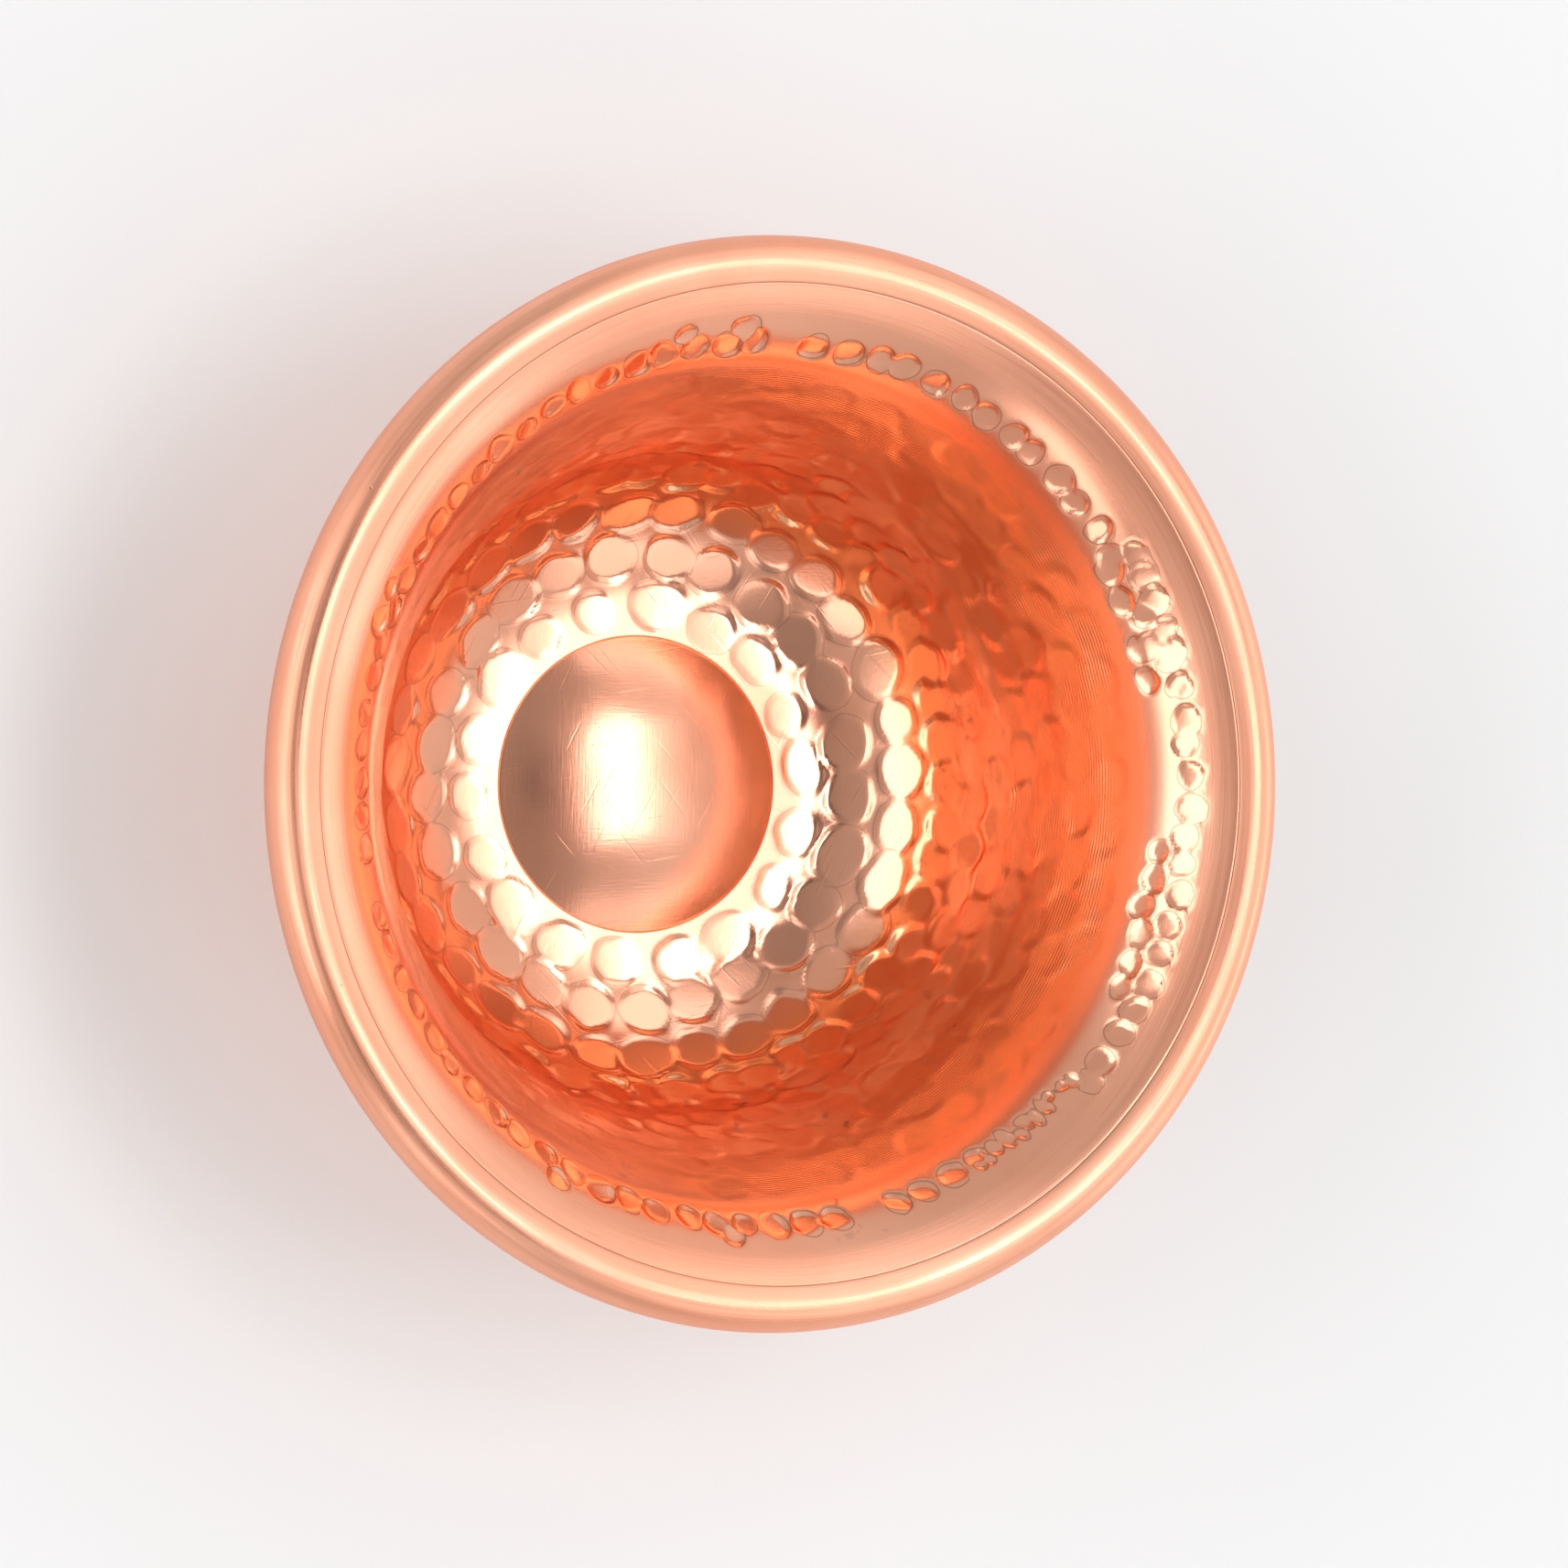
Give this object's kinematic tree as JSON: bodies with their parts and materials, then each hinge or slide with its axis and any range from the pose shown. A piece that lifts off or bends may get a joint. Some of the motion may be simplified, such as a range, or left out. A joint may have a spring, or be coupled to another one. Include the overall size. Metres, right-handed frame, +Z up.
{
  "type": "offering bowl",
  "caption": "Round copper offering bowl with a hammered inside, smooth domed centre, swept wall, flared lip and a rim rolled over a wire; stands on a flat ring and holds water, rice or incense.",
  "frame": {"origin": "centre of the flat ring the bowl stands on, at the level of the table", "axes": "+Z up along the bowl's axis, towards the open side; X and Y lie on the table"},
  "size_m": [0.09, 0.09, 0.035],
  "materials": {
    "hammered_copper": null,
    "copper_wire": null
  },
  "bodies": {
    "root": {"bowl_shell": "hammered_copper", "rim_wire": "copper_wire"}
  },
  "joints": []
}
